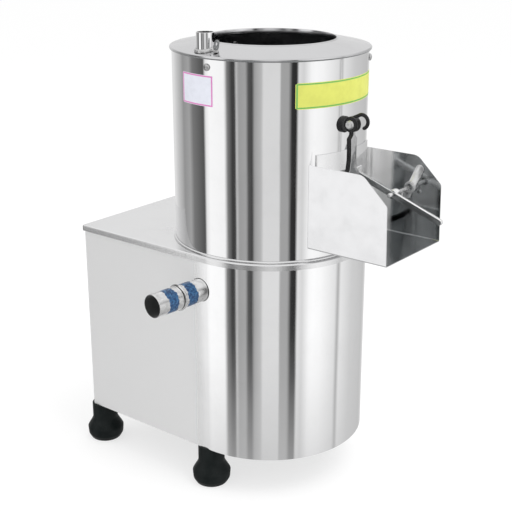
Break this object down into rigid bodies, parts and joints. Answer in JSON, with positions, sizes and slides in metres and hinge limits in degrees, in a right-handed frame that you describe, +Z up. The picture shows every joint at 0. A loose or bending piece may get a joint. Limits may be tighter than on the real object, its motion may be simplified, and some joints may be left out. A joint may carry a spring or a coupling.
{
  "type": "potato peeler machine",
  "caption": "Upright catering potato peeler: a steel drum with an abrasive disc on a round-ended base, with a discharge chute, gate, drain pipe and rubber feet.",
  "frame": {"origin": "middle of the machine's footprint on the floor, under the rubber feet", "axes": "+Z up; +X towards the discharge chute; the drain pipe leaves on the -Y side"},
  "size_m": [0.7045, 0.5052, 0.8781],
  "materials": {
    "polished_steel": "mirror polished stainless steel",
    "satin_steel": "satin stainless steel",
    "machined_steel": "machined steel",
    "black_rubber": "black rubber",
    "black_iron": "black lacquered iron",
    "black_abrasive": "black grit bonded to steel",
    "grey_paint": "grey paint",
    "dark_plastic": "moulded plastic"
  },
  "bodies": {
    "machine": {"base_frame": "grey_paint", "base_shell": "satin_steel", "base_top_plate": "satin_steel", "bearing_housing": "grey_paint", "bolt_keeper": "black_iron", "cable_gland": "dark_plastic", "discharge_chute": "polished_steel", "drain_collar": "polished_steel", "drain_spout": "polished_steel", "drain_stub": "polished_steel", "drum_foot_ring": "satin_steel", "drum_liner": "black_abrasive", "drum_shell": "polished_steel", "fan_cover": "grey_paint", "foot_bolt_1": "machined_steel", "foot_bolt_2": "machined_steel", "foot_bolt_3": "machined_steel", "foot_bolt_4": "machined_steel", "gate_bracket": "black_iron", "inlet_collar": "satin_steel", "inlet_pipe": "polished_steel", "lower_bearing": "machined_steel", "motor_body": "grey_paint", "motor_shelf": "grey_paint", "panel_screw_1": "machined_steel", "panel_screw_2": "machined_steel", "panel_screw_3": "machined_steel", "panel_screw_4": "machined_steel", "pivot_bolt": "polished_steel", "rear_panel": "satin_steel", "ring_screw_1": "polished_steel", "ring_screw_2": "polished_steel", "ring_screw_3": "polished_steel", "rubber_foot_1": "black_rubber", "rubber_foot_2": "black_rubber", "rubber_foot_3": "black_rubber", "rubber_foot_4": "black_rubber", "shaft_seal": "black_rubber", "switch_body": "dark_plastic", "tap_boss": "polished_steel", "terminal_box": "grey_paint", "top_ring": "satin_steel", "upper_bearing": "machined_steel", "v_belt": "black_rubber", "water_pan": "satin_steel"},
    "gate": {"gate_plate": "polished_steel", "gate_hanger": "polished_steel", "lever_bar": "polished_steel"},
    "latch": {"slide_bolt": "machined_steel"},
    "disc": {"peeling_disc": "black_abrasive", "disc_nut": "polished_steel", "main_shaft": "machined_steel", "driven_pulley": "grey_paint"},
    "motor_rotor": {"motor_shaft": "machined_steel", "motor_pulley": "machined_steel", "motor_fan": "dark_plastic"},
    "switch": {"switch_knob": "dark_plastic"},
    "tap": {"tap_handle": "machined_steel"}
  },
  "joints": [
    {"name": "gate_swing", "type": "hinge", "parent": "machine", "child": "gate", "pos_m": [0.19525, 0.0241, 0.716], "axis": [0, -1, 0], "range_deg": [0, 45]},
    {"name": "bolt_slide", "type": "slide", "parent": "gate", "child": "latch", "axis": [0, 1, 0], "range_m": [0, 0.007]},
    {"name": "disc_spin", "type": "hinge", "parent": "machine", "child": "disc", "pos_m": [-0.00475, 0.0501, 0.4873], "axis": [0, 0, 1], "continuous": true},
    {"name": "motor_spin", "type": "hinge", "parent": "machine", "child": "motor_rotor", "pos_m": [-0.23075, 0.0501, 0.13], "axis": [0, 0, 1], "continuous": true},
    {"name": "switch_turn", "type": "hinge", "parent": "machine", "child": "switch", "pos_m": [-0.32525, 0.1551, 0.395], "axis": [-1, 0, 0], "range_deg": [0, 90]},
    {"name": "tap_turn", "type": "hinge", "parent": "machine", "child": "tap", "pos_m": [0.00538, -0.11559, 0.84759], "axis": [0, 0, 1], "range_deg": [0, 90]}
  ],
  "couplings": [
    {"joint": "motor_spin", "follows": "disc_spin", "ratio": 2.8589}
  ]
}
